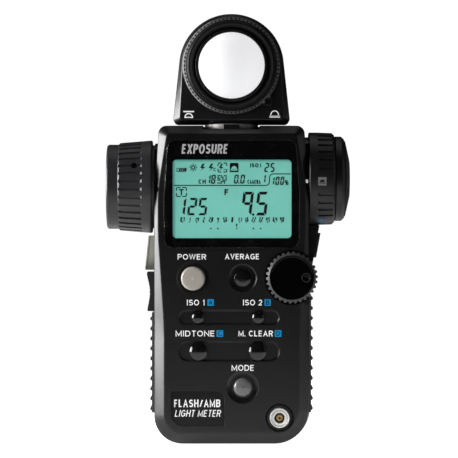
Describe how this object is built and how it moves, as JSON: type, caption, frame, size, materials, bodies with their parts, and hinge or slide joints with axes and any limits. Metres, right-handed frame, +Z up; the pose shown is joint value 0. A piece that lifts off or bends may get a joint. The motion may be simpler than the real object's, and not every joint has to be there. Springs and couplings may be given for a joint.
{
  "type": "handheld light meter",
  "caption": "Handheld light meter: swivelling dome head with retracting diffuser, side spot finder with selector dial and eyepiece, display, push buttons and a setting wheel.",
  "frame": {"origin": "centre of the mouth of the tripod socket on the base plane, straight below the head's swivel axis", "axes": "+Z up the meter to the dome, +X to the right of a person facing the display, the display faces -Y"},
  "size_m": [0.0967, 0.0474, 0.17],
  "materials": {
    "case_black": "fine-textured satin black moulding",
    "window_glass": "clear gloss pane",
    "display_glass": "pale green liquid-crystal display",
    "light_guide": "translucent light guide",
    "inner_plastic": "plain black moulding",
    "board_green": "green solder mask",
    "chip_black": "moulded chip packages",
    "soft_rubber": "matt black rubber",
    "button_black": "gloss black",
    "button_pearl": "pearl beige",
    "button_grey": "mid grey",
    "wheel_black": "gloss face, satin teeth",
    "key_light": "light warm grey",
    "key_dark": "dark grey",
    "steel": "plated steel",
    "bright_metal": "bright plated",
    "brass": "brass",
    "battery_jacket": "plain printed jacket",
    "contact_metal": "nickel plated spring strip",
    "barrel_grey": "satin dark grey",
    "lens_glass": "coated glass",
    "sensor": "dark sensor package",
    "ring_black": "satin black",
    "dome_white": "opal white diffuser"
  },
  "bodies": {
    "case": {"battery": "battery_jacket", "battery_contacts": "contact_metal", "board_chips": "chip_black", "case_screws": "steel", "data_socket": "inner_plastic", "display_mask": "case_black", "display_window": "window_glass", "finder_prism": "lens_glass", "finder_tube": "inner_plastic", "front_cover": "case_black", "grip_left": "soft_rubber", "grip_right": "soft_rubber", "jog_encoder": "inner_plastic", "keypad_mat": "soft_rubber", "lcd_backlight": "light_guide", "lcd_connectors": "soft_rubber", "lcd_frame": "inner_plastic", "lcd_panel": "display_glass", "main_board": "board_green", "objective_barrel": "barrel_grey", "objective_grub_screw": "steel", "objective_lens": "lens_glass", "objective_lens_ring": "barrel_grey", "objective_mount": "inner_plastic", "objective_ring": "barrel_grey", "rear_cover": "case_black", "side_switches": "inner_plastic", "spot_sensor": "sensor", "strap_eyelet": "steel", "sync_socket_contact": "brass", "sync_socket_insulator": "inner_plastic", "sync_socket_shell": "bright_metal", "tripod_bush": "brass"},
    "head": {"head_front": "case_black", "head_rear": "case_black", "head_screws": "steel", "swivel_collar": "bright_metal", "swivel_clip": "steel", "incident_sensor": "sensor"},
    "retracting_ring": {"retracting_ring": "ring_black"},
    "dome": {"lumisphere": "dome_white", "dome_carrier": "ring_black"},
    "jog_wheel": {"jog_wheel": "wheel_black", "jog_shaft": "steel"},
    "memory_key": {"memory_key": "key_light"},
    "measure_key": {"measure_key": "key_dark"},
    "battery_door": {"battery_door": "case_black", "door_latch": "inner_plastic"},
    "selector_dial": {"selector_dial": "barrel_grey"},
    "diopter_ring": {"diopter_ring": "barrel_grey", "eyecup": "soft_rubber"},
    "eyepiece_lens": {"eyepiece_lens": "lens_glass"},
    "data_cap": {"data_cap": "soft_rubber"},
    "power_button": {"power_button": "button_pearl"},
    "average_button": {"average_button": "button_black"},
    "iso1_button": {"iso1_button": "button_black"},
    "iso2_button": {"iso2_button": "button_black"},
    "midtone_button": {"midtone_button": "button_black"},
    "clear_button": {"clear_button": "button_black"},
    "mode_button": {"mode_button": "button_grey"}
  },
  "joints": [
    {"name": "head_swivel", "type": "hinge", "parent": "case", "child": "head", "pos_m": [0, 0, 0.1255], "axis": [0, 0, 1], "range_deg": [-90, 180]},
    {"name": "ring_turn", "type": "hinge", "parent": "head", "child": "retracting_ring", "pos_m": [0, -0.0105, 0.1493], "axis": [0, 1, 0], "range_deg": [0, 90]},
    {"name": "dome_retract", "type": "slide", "parent": "head", "child": "dome", "axis": [0, 1, 0], "range_m": [0, 0.0096]},
    {"name": "jog_turn", "type": "hinge", "parent": "case", "child": "jog_wheel", "pos_m": [0.0237, -0.0145, 0.0657], "axis": [0, 1, 0], "continuous": true},
    {"name": "memory_press", "type": "slide", "parent": "case", "child": "memory_key", "axis": [1, 0, 0], "range_m": [0, 0.001]},
    {"name": "measure_press", "type": "slide", "parent": "case", "child": "measure_key", "axis": [1, 0, 0], "range_m": [0, 0.001]},
    {"name": "door_open", "type": "hinge", "parent": "case", "child": "battery_door", "pos_m": [0, 0.0118, 0.0214], "axis": [-1, 0, 0], "range_deg": [0, 100], "deforming": ["door_latch"]},
    {"name": "selector_turn", "type": "hinge", "parent": "case", "child": "selector_dial", "pos_m": [0.0357, 0.0035, 0.1049], "axis": [-1, 0, 0], "range_deg": [0, 60]},
    {"name": "diopter_turn", "type": "hinge", "parent": "case", "child": "diopter_ring", "pos_m": [0.0425, 0.0035, 0.1049], "axis": [1, 0, 0], "range_deg": [-90, 90]},
    {"name": "eyepiece_focus", "type": "slide", "parent": "case", "child": "eyepiece_lens", "axis": [1, 0, 0], "range_m": [-0.00065, 0.00065]},
    {"name": "cap_open", "type": "hinge", "parent": "case", "child": "data_cap", "pos_m": [0.03478, 0.01025, 0.0783], "axis": [0.1752, 0, 0.9845], "range_deg": [0, 90]},
    {"name": "power_press", "type": "slide", "parent": "case", "child": "power_button", "axis": [0, 1, 0], "range_m": [0, 0.0006]},
    {"name": "average_press", "type": "slide", "parent": "case", "child": "average_button", "axis": [0, 1, 0], "range_m": [0, 0.0006]},
    {"name": "iso1_press", "type": "slide", "parent": "case", "child": "iso1_button", "axis": [0, 1, 0], "range_m": [0, 0.0006]},
    {"name": "iso2_press", "type": "slide", "parent": "case", "child": "iso2_button", "axis": [0, 1, 0], "range_m": [0, 0.0006]},
    {"name": "midtone_press", "type": "slide", "parent": "case", "child": "midtone_button", "axis": [0, 1, 0], "range_m": [0, 0.0006]},
    {"name": "clear_press", "type": "slide", "parent": "case", "child": "clear_button", "axis": [0, 1, 0], "range_m": [0, 0.0006]},
    {"name": "mode_press", "type": "slide", "parent": "case", "child": "mode_button", "axis": [0, 1, 0], "range_m": [0, 0.0006]}
  ],
  "couplings": [
    {"joint": "dome_retract", "follows": "ring_turn", "m_per_rad": 0.0060479},
    {"joint": "eyepiece_focus", "follows": "diopter_turn", "m_per_rad": 0.00038197}
  ]
}
